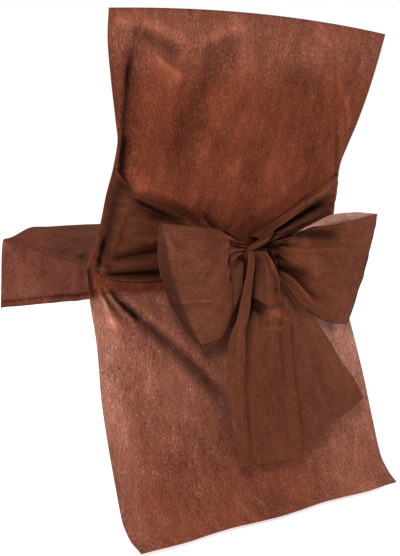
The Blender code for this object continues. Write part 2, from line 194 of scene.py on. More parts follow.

# Folds: a line from one point to another, its sideways bow, the fold's half-width at each end, its
# height (a trough below zero), its lean (above zero it falls steeply on the right of someone walking
# down the line, as seen from behind the chair) and how much painted shade it lays on the cloth (below
# zero, a painted highlight).
Fold = namedtuple("Fold", "x0 z0 x1 z1 bow width0 width1 height lean shade")
POCKET_FOLDS = [
    Fold(0.236, 0.760, 0.222, 0.560, -0.003, 0.0060, 0.0038, -0.0050, 0.0, 0.60),
    Fold(0.230, 0.790, 0.222, 0.600, 0.000, 0.0120, 0.0080, -0.0040, 0.0, 0.28),
    Fold(0.226, 0.640, 0.236, 0.540, 0.000, 0.0080, 0.0120, -0.0040, 0.0, 0.45),
    Fold(0.268, 0.808, 0.236, 0.806, 0.000, 0.0110, 0.0100, 0.0050, 0.3, -0.45),
    Fold(0.222, 0.806, 0.140, 0.779, 0.000, 0.0090, 0.0100, 0.0060, 0.3, -0.35),
    Fold(0.036, 0.815, 0.132, 0.778, 0.000, 0.0130, 0.0090, 0.0050, -0.3, -0.40),
    Fold(0.236, 0.796, 0.146, 0.766, 0.000, 0.0130, 0.0150, -0.0060, 0.0, 0.42),
    Fold(0.196, 0.758, 0.140, 0.728, 0.000, 0.0070, 0.0130, 0.0060, -0.4, -0.50),
    Fold(0.053, 0.800, 0.150, 0.590, -0.008, 0.0200, 0.0330, -0.0050, 0.0, 0.34),
    Fold(0.019, 0.770, 0.100, 0.580, -0.006, 0.0200, 0.0280, 0.0040, 0.0, -0.20),
    Fold(-0.083, 0.780, -0.110, 0.590, 0.000, 0.0400, 0.0500, 0.0020, 0.0, 0.12),
    Fold(-0.110, 0.818, -0.150, 0.790, 0.000, 0.0060, 0.0060, 0.0030, 0.3, -0.20),
    Fold(-0.150, 0.815, -0.189, 0.669, 0.000, 0.0050, 0.0050, -0.0020, 0.0, 0.12),
    Fold(-0.189, 0.669, -0.217, 0.555, 0.000, 0.0050, 0.0050, -0.0030, 0.0, 0.35),
    Fold(-0.196, 0.712, -0.226, 0.655, 0.000, 0.0120, 0.0060, 0.0060, 0.6, -0.45),
    Fold(-0.220, 0.790, -0.205, 0.730, 0.004, 0.0100, 0.0120, -0.0040, 0.0, 0.20),
    Fold(0.219, 0.592, 0.196, 0.548, 0.000, 0.0090, 0.0110, 0.0060, 0.4, -0.35),
    Fold(0.220, 0.556, 0.195, 0.541, 0.000, 0.0040, 0.0030, -0.0060, 0.0, 0.60),
    Fold(0.206, 0.560, 0.080, 0.512, 0.006, 0.0200, 0.0120, 0.0120, 0.7, -0.05),
    Fold(0.060, 0.510, 0.016, 0.470, 0.000, 0.0050, 0.0035, -0.0060, 0.2, 0.60),
    Fold(0.030, 0.600, 0.010, 0.480, 0.000, 0.0260, 0.0160, 0.0040, 0.0, -0.15),
    Fold(-0.030, 0.500, -0.170, 0.610, 0.000, 0.0120, 0.0200, 0.0060, -0.4, 0.05),
]
SKIRT_FOLDS = [
    Fold(0.264, 0.440, 0.262, 0.378, 0.000, 0.0090, 0.0050, -0.0040, 0.0, 0.85),
    Fold(0.256, 0.436, 0.254, 0.396, 0.000, 0.0020, 0.0025, 0.0040, 0.0, -0.45),
    Fold(0.250, 0.404, 0.238, 0.335, 0.000, 0.0022, 0.0045, 0.0070, 0.3, -0.75),
    Fold(0.240, 0.396, 0.200, 0.336, 0.000, 0.0022, 0.0050, 0.0070, 0.3, -0.75),
    Fold(0.246, 0.396, 0.216, 0.338, 0.000, 0.0030, 0.0050, -0.0060, 0.0, 0.55),
    Fold(0.232, 0.394, 0.188, 0.340, 0.000, 0.0050, 0.0060, -0.0050, 0.0, 0.50),
    Fold(0.226, 0.380, 0.048, 0.196, 0.006, 0.0090, 0.0160, -0.0120, -0.2, 0.58),
    Fold(0.236, 0.352, 0.190, 0.230, 0.000, 0.0200, 0.0330, 0.0040, 0.0, -0.34),
    Fold(0.262, 0.370, 0.278, 0.180, 0.000, 0.0090, 0.0120, 0.0030, 0.0, -0.20),
    Fold(0.232, 0.386, 0.100, 0.380, 0.000, 0.0080, 0.0080, 0.0060, 0.7, 0.35),
    Fold(-0.240, 0.400, -0.214, 0.260, 0.000, 0.0100, 0.0200, 0.0060, 0.0, -0.10),
    Fold(-0.205, 0.395, -0.120, 0.300, 0.000, 0.0120, 0.0180, -0.0080, 0.0, 0.20),
    Fold(0.150, 0.160, 0.130, 0.020, 0.004, 0.0200, 0.0300, 0.0040, 0.0, -0.10),
    Fold(-0.120, 0.120, -0.130, 0.020, 0.000, 0.0200, 0.0300, -0.0040, 0.0, 0.05),
]
FRONT_FOLDS = [
    Fold(0.225, 0.790, 0.120, 0.700, 0.000, 0.0140, 0.0240, 0.0040, 0.0, -0.12),
    Fold(-0.225, 0.780, -0.150, 0.660, 0.000, 0.0120, 0.0260, 0.0040, 0.0, -0.12),
    Fold(0.210, 0.600, 0.060, 0.500, 0.006, 0.0160, 0.0200, -0.0040, 0.0, 0.16),
    Fold(-0.210, 0.590, -0.080, 0.490, -0.006, 0.0160, 0.0200, -0.0040, 0.0, 0.16),
    Fold(0.000, 0.780, 0.020, 0.600, 0.000, 0.0400, 0.0500, 0.0030, 0.0, -0.08),
    Fold(0.230, 0.520, 0.190, 0.440, 0.000, 0.0080, 0.0120, 0.0050, 0.3, -0.15),
    Fold(-0.228, 0.520, -0.190, 0.440, 0.000, 0.0080, 0.0120, 0.0050, -0.3, -0.15),
]
SEAT_FOLDS = [
    Fold(0.250, -0.100, 0.120, -0.260, 0.010, 0.0200, 0.0300, 0.0050, 0.0, -0.15),
    Fold(0.245, -0.080, 0.235, -0.300, 0.000, 0.0100, 0.0160, -0.0050, 0.0, 0.20),
    Fold(-0.240, -0.090, -0.140, -0.280, 0.008, 0.0180, 0.0260, 0.0050, 0.0, -0.10),
    Fold(0.060, -0.090, 0.020, -0.330, 0.010, 0.0240, 0.0300, -0.0030, 0.0, 0.05),
    Fold(0.262, -0.075, 0.225, -0.150, 0.000, 0.0080, 0.0120, -0.0060, 0.0, 0.70),
    Fold(0.262, -0.100, 0.240, -0.200, 0.000, 0.0060, 0.0090, 0.0050, 0.0, -0.10),
]
SASH_LEFT_FOLDS = [
    Fold(0.243, 0.480, 0.250, 0.408, 0.000, 0.0030, 0.0050, -0.0030, 0.0, 0.70),
    Fold(0.236, 0.470, 0.238, 0.412, 0.000, 0.0020, 0.0030, 0.0030, 0.0, -0.25),
    Fold(0.232, 0.572, 0.241, 0.440, 0.000, 0.0110, 0.0120, -0.0060, 0.0, 0.75),
    Fold(0.246, 0.590, 0.209, 0.545, 0.000, 0.0060, 0.0060, -0.0040, 0.0, 0.45),
    Fold(0.219, 0.545, 0.227, 0.451, 0.000, 0.0060, 0.0060, 0.0070, 0.0, -0.15),
    Fold(0.209, 0.543, 0.100, 0.497, 0.000, 0.0050, 0.0065, -0.0070, 0.0, 0.95),
    Fold(0.202, 0.526, 0.130, 0.499, 0.000, 0.0100, 0.0110, -0.0050, 0.0, 0.45),
    Fold(0.224, 0.443, 0.110, 0.457, 0.000, 0.0040, 0.0150, -0.0110, 0.0, 0.85),
    Fold(0.232, 0.432, 0.110, 0.432, 0.000, 0.0050, 0.0070, 0.0080, 0.0, -0.15),
    Fold(0.238, 0.418, 0.100, 0.413, 0.000, 0.0035, 0.0115, -0.0130, 0.0, 1.20),
    Fold(0.246, 0.409, 0.190, 0.405, 0.000, 0.0030, 0.0030, 0.0050, 0.0, -0.10),
    Fold(0.252, 0.446, 0.222, 0.424, 0.000, 0.0030, 0.0040, -0.0040, 0.0, 0.60),
    Fold(0.085, 0.480, 0.000, 0.454, 0.000, 0.0060, 0.0035, 0.0070, 0.4, 0.00),
    Fold(0.085, 0.440, 0.000, 0.448, 0.000, 0.0060, 0.0035, 0.0060, 0.4, 0.00),
]
SASH_RIGHT_FOLDS = [
    Fold(-0.030, 0.461, -0.215, 0.572, -0.004, 0.0055, 0.0085, 0.0110, 0.4, -0.15),
    Fold(-0.040, 0.468, -0.190, 0.572, -0.004, 0.0030, 0.0040, -0.0040, 0.0, 0.35),
    Fold(-0.040, 0.454, -0.205, 0.530, -0.003, 0.0040, 0.0120, -0.0120, 0.0, 1.00),
    Fold(-0.040, 0.450, -0.190, 0.503, 0.000, 0.0045, 0.0090, 0.0080, 0.3, -0.10),
    Fold(-0.040, 0.447, -0.180, 0.468, 0.000, 0.0035, 0.0090, -0.0080, 0.0, 0.70),
    Fold(-0.205, 0.470, -0.228, 0.560, 0.000, 0.0080, 0.0060, 0.0040, 0.0, 0.10),
]
LOOP_LEFT_FOLDS = [
    Fold(0.050, 0.452, 0.042, 0.398, -0.004, 0.0035, 0.0030, -0.0040, 0.0, 1.10),
    Fold(0.056, 0.489, 0.012, 0.464, 0.000, 0.0045, 0.0030, -0.0090, 0.0, 0.80),
    Fold(0.048, 0.466, 0.010, 0.457, 0.000, 0.0050, 0.0030, -0.0080, 0.0, 0.70),
    Fold(0.052, 0.478, 0.008, 0.461, 0.000, 0.0040, 0.0025, 0.0060, 0.0, -0.10),
    Fold(0.045, 0.440, 0.006, 0.450, 0.000, 0.0060, 0.0030, 0.0060, 0.0, 0.00),
    Fold(0.156, 0.378, 0.092, 0.374, 0.002, 0.0030, 0.0025, 0.0022, 0.5, -0.20),
    Fold(0.186, 0.498, 0.160, 0.455, 0.000, 0.0080, 0.0120, 0.0040, -0.4, -0.15),
    Fold(0.150, 0.470, 0.090, 0.400, 0.010, 0.0260, 0.0260, 0.0040, 0.0, -0.10),
    Fold(0.150, 0.430, 0.095, 0.424, 0.000, 0.0030, 0.0030, 0.0012, 0.5, -0.05),
    Fold(0.146, 0.402, 0.100, 0.397, 0.000, 0.0030, 0.0030, 0.0012, 0.5, -0.05),
]
LOOP_RIGHT_FOLDS = [
    Fold(-0.050, 0.457, -0.140, 0.482, 0.003, 0.0050, 0.0060, 0.0100, 0.6, -0.15),
    Fold(-0.135, 0.483, -0.212, 0.474, 0.004, 0.0045, 0.0050, 0.0070, 0.6, -0.30),
    Fold(-0.108, 0.470, -0.198, 0.466, 0.002, 0.0065, 0.0085, -0.0090, 0.0, 1.00),
    Fold(-0.056, 0.449, -0.118, 0.460, 0.000, 0.0040, 0.0070, -0.0080, 0.0, 0.90),
    Fold(-0.095, 0.458, -0.130, 0.462, 0.000, 0.0045, 0.0050, 0.0060, 0.0, -0.70),
    Fold(-0.110, 0.447, -0.218, 0.447, 0.000, 0.0030, 0.0040, 0.0030, 0.5, -0.10),
    Fold(-0.090, 0.440, -0.150, 0.420, 0.000, 0.0120, 0.0200, 0.0080, -0.3, -0.45),
    Fold(-0.066, 0.416, -0.126, 0.391, 0.003, 0.0050, 0.0120, -0.0110, 0.3, 1.00),
    Fold(-0.046, 0.440, -0.084, 0.428, 0.000, 0.0050, 0.0070, -0.0090, 0.0, 0.90),
    Fold(-0.058, 0.420, -0.142, 0.336, 0.004, 0.0045, 0.0055, 0.0090, 0.2, -0.60),
    Fold(-0.072, 0.416, -0.148, 0.346, 0.004, 0.0035, 0.0045, -0.0070, 0.0, 0.80),
    Fold(-0.252, 0.485, -0.214, 0.318, 0.000, 0.0025, 0.0025, 0.0012, 0.0, -0.08),
    Fold(-0.150, 0.400, -0.175, 0.330, 0.000, 0.0200, 0.0200, 0.0030, 0.0, 0.05),
]
TAIL_FRONT_FOLDS = [
    Fold(0.000, 0.452, 0.036, 0.322, 0.002, 0.0050, 0.0070, 0.0120, 0.2, -0.25),
    Fold(0.036, 0.322, 0.060, 0.110, 0.002, 0.0070, 0.0060, 0.0100, 0.2, -0.15),
    Fold(-0.010, 0.448, 0.020, 0.330, 0.003, 0.0040, 0.0060, -0.0100, 0.0, 1.15),
    Fold(0.020, 0.330, 0.044, 0.215, 0.000, 0.0060, 0.0050, -0.0070, 0.0, 0.75),
    Fold(0.044, 0.215, 0.056, 0.110, 0.000, 0.0050, 0.0040, -0.0040, 0.0, 0.35),
    Fold(-0.020, 0.440, -0.034, 0.380, 0.000, 0.0110, 0.0180, 0.0120, 0.0, 0.05),
    Fold(0.000, 0.370, -0.026, 0.352, 0.000, 0.0035, 0.0035, 0.0060, -0.6, 0.10),
    Fold(-0.026, 0.352, -0.062, 0.358, 0.000, 0.0035, 0.0035, 0.0060, -0.6, 0.10),
    Fold(0.010, 0.366, -0.018, 0.342, 0.000, 0.0080, 0.0110, -0.0110, 0.0, 1.15),
    Fold(-0.016, 0.344, -0.054, 0.342, 0.000, 0.0060, 0.0110, 0.0060, 0.0, -0.60),
    Fold(-0.014, 0.320, -0.056, 0.316, 0.000, 0.0022, 0.0022, 0.0040, -0.4, -1.10),
    Fold(-0.030, 0.338, -0.066, 0.324, 0.000, 0.0070, 0.0070, 0.0050, 0.4, -0.30),
    Fold(-0.004, 0.330, -0.030, 0.318, 0.000, 0.0060, 0.0060, -0.0040, 0.0, 0.35),
    Fold(-0.034, 0.440, -0.062, 0.368, 0.000, 0.0040, 0.0045, 0.0080, -0.2, -0.30),
    Fold(-0.026, 0.436, -0.052, 0.368, 0.000, 0.0030, 0.0040, -0.0050, 0.0, 0.55),
    Fold(-0.062, 0.368, -0.061, 0.150, 0.000, 0.0050, 0.0050, 0.0060, -0.2, -0.15),
    Fold(-0.050, 0.370, -0.048, 0.200, 0.000, 0.0060, 0.0080, -0.0030, 0.0, 0.20),
]
TAIL_BACK_FOLDS = [
    Fold(-0.050, 0.425, -0.112, 0.330, 0.000, 0.0060, 0.0120, -0.0060, 0.0, 0.45),
    Fold(-0.080, 0.340, -0.110, 0.200, 0.000, 0.0120, 0.0200, 0.0060, 0.0, -0.05),
    Fold(-0.066, 0.330, -0.064, 0.130, 0.000, 0.0080, 0.0100, -0.0060, 0.0, 0.45),
    Fold(-0.130, 0.320, -0.195, 0.205, 0.000, 0.0100, 0.0140, 0.0040, 0.0, -0.10),
]


# Shapes


def mix(a, b, t):
    return a + (b - a) * t


def ease(t):
    t = np.clip(t, 0.0, 1.0)
    return t * t * (3 - 2 * t)


def column(table, name, at):
    """A column of a table at keys of its first column."""
    rows = sorted(table)
    return column_of(np.array([row[0] for row in rows]), np.array([getattr(row, name) for row in rows]), at)


def column_of(keys, values, at):
    """The values at keys, on a smooth curve with no overshoot."""
    slopes = np.diff(values) / np.diff(keys)
    before, after = slopes[:-1], slopes[1:]
    turning = before * after <= 0
    inner = np.where(turning, 0.0, 2 * before * after / np.where(turning, 1.0, before + after))
    tangents = np.concatenate([slopes[:1], inner, slopes[-1:]])
    at = np.clip(at, keys[0], keys[-1])
    i = np.clip(np.searchsorted(keys, at, side="right") - 1, 0, len(slopes) - 1)
    step = keys[i + 1] - keys[i]
    t = (at - keys[i]) / step
    curve = (2 * t**3 - 3 * t**2 + 1) * values[i] + (3 * t**2 - 2 * t**3) * values[i + 1]
    return curve + step * ((t**3 - 2 * t**2 + t) * tangents[i] + (t**3 - t**2) * tangents[i + 1])


def relief(folds, x, z):
    """How far a list of folds lifts the cloth, and how much painted shade it lays on it (below zero, a
    painted highlight).
    """
    height, shade = np.zeros_like(x), np.zeros_like(x)
    for fold in folds:
        run_x, run_z = fold.x1 - fold.x0, fold.z1 - fold.z0
        length = math.hypot(run_x, run_z)
        along = ((x - fold.x0) * run_x + (z - fold.z0) * run_z) / length**2
        inside = np.clip(along, 0.0, 1.0)
        across = ((x - fold.x0) * run_z - (z - fold.z0) * run_x) / length
        across = (across - fold.bow * 4 * inside * (1 - inside)) / mix(fold.width0, fold.width1, inside)
        across = across / (1 + fold.lean * np.sign(across))
        fade = ease((along + 0.08) / 0.2) * ease((1.1 - along) / 0.3)
        profile = np.exp(-across * across) * fade
        height += fold.height * profile
        shade += fold.shade * profile
    return height, shade


def ripples(u, v, size_u, size_v, seed, count=28):
    """Gentle unevenness: a sum of waves of about the two sizes, from -1 to 1 or so."""
    random = np.random.default_rng(seed)
    total = np.zeros(np.broadcast(u, v).shape)
    for _ in range(count):
        angle, phase = random.uniform(0, 2 * math.pi, 2)
        pace = random.uniform(0.6, 1.5) * 2 * math.pi
        total += np.sin(pace * (u * math.cos(angle) / size_u + v * math.sin(angle) / size_v) + phase)
    return total / math.sqrt(count)


def crisp(u, v, size_u, size_v, seed):
    """Sharp little ridges with flat facets between them, as stiff cloth creases."""
    return 0.45 - np.abs(ripples(u, v, size_u, size_v, seed, 12))


def spans(length, cell):
    return np.linspace(0.0, 1.0, max(4, int(round(length / cell))) + 1)


def crown(x, z):
    return CROWN * (1 - (x / 0.275) ** 2) * ease((z - TOP + CROWN_DEPTH) / CROWN_DEPTH)


def pocket_points(z, across, side):
    """The pocket's rear (side 1) or front (side -1); across runs from the right seam to the left one."""
    left, right = column(POCKET, "left", z), column(POCKET, "right", z)
    x = mix(right, left, across)
    inward = np.where(
        x > 0.5 * (left + right),
        (left - x) / (left - column(POCKET, "left_crease", z)),
        (x - right) / (column(POCKET, "right_crease", z) - right),
    )
    edge = ease(inward if side > 0 else inward * 0.7)
    inside = edge * ease((TOP - z) / TUCK)
    depth = column(POCKET, "behind" if side > 0 else "before", z) * inside
    y = column(POCKET, "seam_y", z) + side * (SEAM / 2 + depth)
    return np.stack([x, y, z + crown(x, z)], -1), inside


def skirt_points(z, across):
    left, right = column(SKIRT, "left", z), column(SKIRT, "right", z)
    x = mix(right, left, across)
    inset = np.minimum(across, 1 - across)
    middle = ease(inset / 0.2)
    waves = 0.003 * np.sin(5 * across * math.pi) * ease((WAIST - z) / 0.1)
    y = mix(column(SKIRT, "edge_y", z), column(SKIRT, "middle_y", z), middle) + waves * middle
    drop = HEM_DROP * middle * ease((0.1 - z) / 0.08)
    return np.stack([x, y + SEAM / 2, z - drop], -1), ease(inset / 0.06)


def seat_points(run, across):
    edge_y, edge_z, middle_y, middle_z, half = (column(SEAT, n, run) for n in Seat._fields[1:])
    side = 2 * across - 1
    flat = ease((1 - np.abs(side)) / 0.25)
    x = mix(-half, half, across) + 0.006 * (1 - ease(run * 4))
    ripple = 0.003 * np.sin(side * 7 + 3 * run) * ease((run - 0.8) / 0.1)
    return np.stack([x, mix(edge_y, middle_y, flat) - ripple, mix(edge_z, middle_z, flat)], -1)


def normals(points):
    """Unit normals of a grid of points."""
    across = np.gradient(points, axis=1)
    along = np.gradient(points, axis=0)
    found = np.cross(across, along)
    return found / np.maximum(np.linalg.norm(found, axis=-1, keepdims=True), 1e-12)


def painted_ridge_light(points, reach=0.006):
    """How sharply each place of a sheet is bent: above zero on a ridge seen from its outer side, where the
    finish paints a highlight.
    """
    step_u = np.linalg.norm(np.gradient(points, axis=1), axis=-1)
    step_v = np.linalg.norm(np.gradient(points, axis=0), axis=-1)
    bend = np.zeros(points.shape[:2])
    n = normals(points)
    for axis, step in ((0, step_v), (1, step_u)):
        second = np.gradient(np.gradient(points, axis=axis), axis=axis)
        bend -= (second * n).sum(-1) / np.maximum(step, 1e-6) ** 2
    return np.tanh(bend * reach)


def turned_hem(points, inward):
    """Adds the cloth turned up inside the last row of a sheet."""
    lengths = np.linalg.norm(np.diff(points, axis=0), axis=-1).mean(1)[::-1]
    rows = 1 + int(np.searchsorted(np.cumsum(lengths), HEM_WIDTH))
    inner = points[::-1][1 : rows + 1] + np.asarray(inward) * HEM_TURN
    lip = points[-1:] + (points[-1:] - points[-2:-1]) * 0.1 + np.asarray(inward) * HEM_TURN * 0.5
    return np.concatenate([points, lip, inner]), rows + 1


# The pieces' grids: each gives its points, how much of it lies over other cloth or is painted in shade, and
# its painted fold shade


def front_panel():
    """The front of the pocket, the seat and the front flap."""
    across = spans(FRONT_WIDTH, FRONT_CELL)[None, :]
    z = mix(TOP, WAIST, spans(TOP - WAIST, FRONT_CELL))[:, None]
    pocket, inside = pocket_points(z + 0 * across, across + 0 * z, -1)
    # tone is the painted shade (below zero, painted highlight) of the pocket front's folds.
    lift, tone = relief(FRONT_FOLDS, pocket[..., 0], pocket[..., 2])
    wrinkle = 0.0012 * ripples(pocket[..., 0], pocket[..., 2], 0.06, 0.2, 3)
    pocket[..., 1] -= (lift + wrinkle) * inside
    run = spans(SEAT_RUN, FRONT_CELL)[1:, None]
    seat = seat_points(run + 0 * across, across + 0 * run)
    height, shade = relief(SEAT_FOLDS, seat[..., 0], seat[..., 1])
    height += 0.0016 * ripples(seat[..., 0], seat[..., 1], 0.08, 0.12, 5)
    free = ease((run - 0.02) / 0.1) * ease(np.minimum(across, 1 - across) / 0.04)
    seat += normals(seat) * (height * free * ease((0.78 - run) / 0.1) * 0.8)[..., None]
    flap = 0.0020 * ripples(seat[..., 0], seat[..., 2], 0.05, 0.3, 8) * ease((run - 0.8) / 0.1)
    seat[..., 1] -= flap
    points = np.concatenate([pocket, seat])
    # The seat's top gets painted shade: the layered colour and SEAT_SHADE darken it.
    on_seat = ease((0.77 - run) / 0.05)
    layers_and_shade = np.concatenate([np.full(pocket.shape[:2], 0.90), mix(0.62, 0.97, on_seat) + 0 * across])
    shade = np.concatenate([tone * inside, shade * free + SEAT_SHADE * on_seat])
    points, hem_rows = turned_hem(points, (0, 1, 0))
    return points, pad(layers_and_shade, hem_rows, 0.8), pad(shade, hem_rows)


def pad(values, rows, last=0.0):
    """Carries a grid of values over the rows that a hem adds, and marks the cloth in front of it."""
    values = np.concatenate([values, np.repeat(values[-1:], rows, axis=0)])
    values[-2 * rows :] = np.maximum(values[-2 * rows :], last)
    return values


def back_panel():
    """The rear of the pocket and the long skirt below it."""
    across = spans(PANEL_WIDTH, CELL)[None, :]
    z = mix(TOP, WAIST, spans(TOP - WAIST, CELL))[:, None]
    pocket, inside = pocket_points(z + 0 * across, across + 0 * z, 1)
    x, height_z = pocket[..., 0], pocket[..., 2]
    height, shade = relief(POCKET_FOLDS, x, height_z)
    height += 0.0014 * ripples(x, height_z, 0.05, 0.22, 11) + 0.0006 * crisp(x, height_z, 0.03, 0.08, 12)
    pocket[..., 1] += height * inside
    low = mix(WAIST, HEM, spans(WAIST - HEM, CELL))[1:, None]
    skirt, free = skirt_points(low + 0 * across, across + 0 * low)
    x, height_z = skirt[..., 0], skirt[..., 2]
    height, dark = relief(SKIRT_FOLDS, x, height_z)
    loose = ease((WAIST - low) / 0.06) * mix(0.25, 1.0, ease((low - HEM) / 0.09))
    waves = 0.0022 * ripples(x, height_z, 0.08, 0.30, 21) + 0.0008 * crisp(x, height_z, 0.05, 0.09, 22)
    height += loose * waves
    skirt[..., 1] += height * free
    points = np.concatenate([pocket, skirt])
    # Painted shade on the skirt: darker in its middle under the seat and towards the bottom, paler in the
    # side margins.
    margin = ease((0.05 - 0.54 * (1 - across)) / 0.03) + 1.25 * ease((0.20 - 0.54 * across) / 0.12)
    margin = margin * mix(0.45, 1.0, ease((low - 0.06) / 0.2))
    skirt_painted_shade = 0.60 + 0.25 * ease((0.26 - low) / 0.2) - 0.42 * margin
    under_sash = 0.96 * ease((low - 0.370) / 0.02)
    pocket_backed = 0.97 - 0.22 * ease((pocket[..., 2] - 0.70) / 0.1)
    layers_and_shade = np.concatenate([pocket_backed, np.maximum(skirt_painted_shade, under_sash)])
    # The left fin strip beside its crease is darkened with painted shade.
    fin = 0.14 * ease((0.05 - (1 - across) * 0.54) / 0.02) * ease((0.80 - z) / 0.05)
    seam_edge = 0.30 * ease((z - TOP + 0.004) / 0.004)
    shade = np.concatenate([shade * ease(inside * 3) + fin + seam_edge, dark])
    points, hem_rows = turned_hem(points, (0, -1, 0))
    return points, pad(layers_and_shade, hem_rows, 0.45), pad(shade, hem_rows)


def back_surface(x, z):
    """How far behind the origin the back panel's smooth surface lies."""
    left = column(POCKET, "left", np.maximum(z, WAIST))
    right = column(POCKET, "right", np.maximum(z, WAIST))
    across = np.clip((x - right) / (left - right), 0, 1)
    high, _ = pocket_points(np.maximum(z, WAIST), across, 1)
    low, _ = skirt_points(np.minimum(z, WAIST), across)
    return np.where(z >= WAIST, high[..., 1], low[..., 1])


def sash(table, folds, seed):
    """One half of the sash, laid over the back from its side seam to the knot."""
    start, end = table[0].x, table[-1].x
    along = spans(abs(start - end), 0.0026)[:, None]
    across = spans(BAND_WIDTH, 0.0022)[None, :]
    straight_x = mix(start, end, along) + 0 * across
    top, bottom, lift = (column(table, name, straight_x) for name in Band._fields[1:])
    z = mix(bottom, top, across)
    seam_x = column(POCKET, "left" if start > 0 else "right", z)
    x = straight_x + (seam_x * 0.988 - start) * (1 - along) ** 3
    height, shade = relief(folds, x, z)
    tight = ease((along - 0.55) / 0.4)
    gathers = np.sin(2 * math.pi * 5 * across + seed) * (0.0015 + 0.0045 * tight)
    free = ease(along / 0.12) * ease(np.minimum(across, 1 - across) / 0.06)
    height += gathers + 0.0010 * ripples(x, z, 0.06, 0.02, seed)
    edge = mix(0.5, 1.0, ease(across / 0.1)) * mix(0.12, 1.0, ease((1 - across) / 0.16))
    y = back_surface(x, z) + np.maximum(lift * edge + height * free, 0.0024)
    return np.stack([x, y, z], -1), np.full(x.shape, BACKED), shade


def bow_loop(table, folds, seed):
    """One loop of the bow: out from the knot, round its end fold and back behind itself."""
    along = spans(0.5, 0.0028)[:, None]
    across = spans(0.2, 0.0026)[None, :]
    out = np.minimum(along, 1 - along) / LOOP_TURN + 0 * across
    reach = np.minimum(out, 1.0)
    outer = along < 0.5
    top_x, top_z, low_x, low_z, y, half_gap, bulge, rise, slip = (
        column(table, name, reach) for name in Loop._fields[1:]
    )
    swell = 4 * across * (1 - across)
    way = np.sign(table[-1].top_x)
    x = mix(low_x, top_x, across) + way * bulge * swell
    z = mix(low_z, top_z, across) - bulge * swell * 0.3
    z = z + np.where(outer, 0.0, rise) * ease(across * 2)
    x = x - way * np.where(outer, 0.0, slip) * ease(1 - across * 1.6)
    side = half_gap * mix(0.25, 1.1, swell)
    angle = np.clip((along - LOOP_TURN) / (1 - 2 * LOOP_TURN), 0, 1) * math.pi
    x = x + way * side * np.sin(angle)
    offset = side * np.cos(angle)
    height, shade = relief(folds, x, z)
    shared = np.where(outer, 1.0, 0.6)
    near = np.exp(-reach / 0.22)
    pleats = np.sin(2 * math.pi * (4.5 * across + 0.35 * np.sin(3 * reach + seed)) + seed) * 0.0055 * near
    fine = 0.0007 * ripples(x, z, 0.05, 0.03, seed) + 0.0005 * crisp(x, z, 0.03, 0.05, seed + 1)
    within = ease(np.minimum(across, 1 - across) / 0.04 + 0.3)
    y = y + offset + (height * shared + pleats + fine * ease(reach / 0.2)) * within
    layers_and_shade = np.where(outer, BACKED, 0.92) - 0.03 * ease((reach - 0.55) / 0.4)
    # Painted shade on the strip turned round the loop's end fold.
    shade = shade + 0.70 * ease(angle / 0.5) * ease((math.pi - angle) / 0.5)
    lone = np.where(outer | (rise < LEVEL_RISE), 0.0, 0.85 * ease((across - 0.86) / 0.06))
    return np.stack([x, y, z], -1), layers_and_shade * (1 - lone), shade * shared


def tail(table, folds, seed, layers_and_shade, gather):
    """One free end of the bow, hanging from the knot to its cut end."""
    run = spans(0.36, 0.0027)[:, None]
    across = spans(0.16, 0.0024)[None, :]
    left_x, left_z, right_x, right_z, y = (column(table, n, run + 0 * across) for n in Tail._fields[1:])
    x, z = mix(left_x, right_x, across), mix(left_z, right_z, across)
    height, shade = relief(folds, x, z)
    tight = np.exp(-run / 0.12)
    pleats = np.sin(2 * math.pi * (3.5 * across) + seed) * gather * tight
    slack = 0.0020 * ripples(across * 0.13, run * 0.36, 0.035, 0.30, seed)
    fine = 0.0005 * crisp(x, z, 0.03, 0.06, seed + 1)
    y = y + height + pleats + (slack + fine) * ease(run / 0.3)
    return np.stack([x, y, z], -1), np.full(x.shape, layers_and_shade), shade


def knot_points():
    """The crossing turn: a rolled strip that comes over the gathered cloth and tucks in beside the tail."""
    path = np.array(KNOT_PATH)
    share = np.linspace(0.0, 1.0, 61)
    centre = np.stack([column_of(path[:, 0], path[:, k], share) for k in (1, 2, 3)], -1)
    radius = column_of(path[:, 0], path[:, 4], share)[:, None]
    ahead = np.gradient(centre, axis=0)
    ahead /= np.linalg.norm(ahead, axis=-1, keepdims=True)
    out = np.cross(ahead, (0.0, 0.0, 1.0)) + np.array((0.0, 0.35, 0.0))
    out -= (out * ahead).sum(-1, keepdims=True) * ahead
    out /= np.linalg.norm(out, axis=-1, keepdims=True)
    up = np.cross(out, ahead)
    turn = np.linspace(-1.06 * math.pi, 1.06 * math.pi, 65)[None, :]
    pleats = 1 + 0.16 * np.cos(4 * turn + 5 * share[:, None]) - 0.10 * (turn / math.pi) ** 2
    girth = radius * pleats
    points = centre[:, None] + (girth * np.cos(turn))[..., None] * out[:, None]
    points = points + (0.85 * girth * np.sin(turn))[..., None] * up[:, None]
    # Painted shade in the pleats' troughs and painted highlight on their crests.
    shade = 0.15 - 0.5 * np.cos(4 * turn + 5 * share[:, None])
    return points, np.full(shade.shape, 0.95), shade


# Meshes


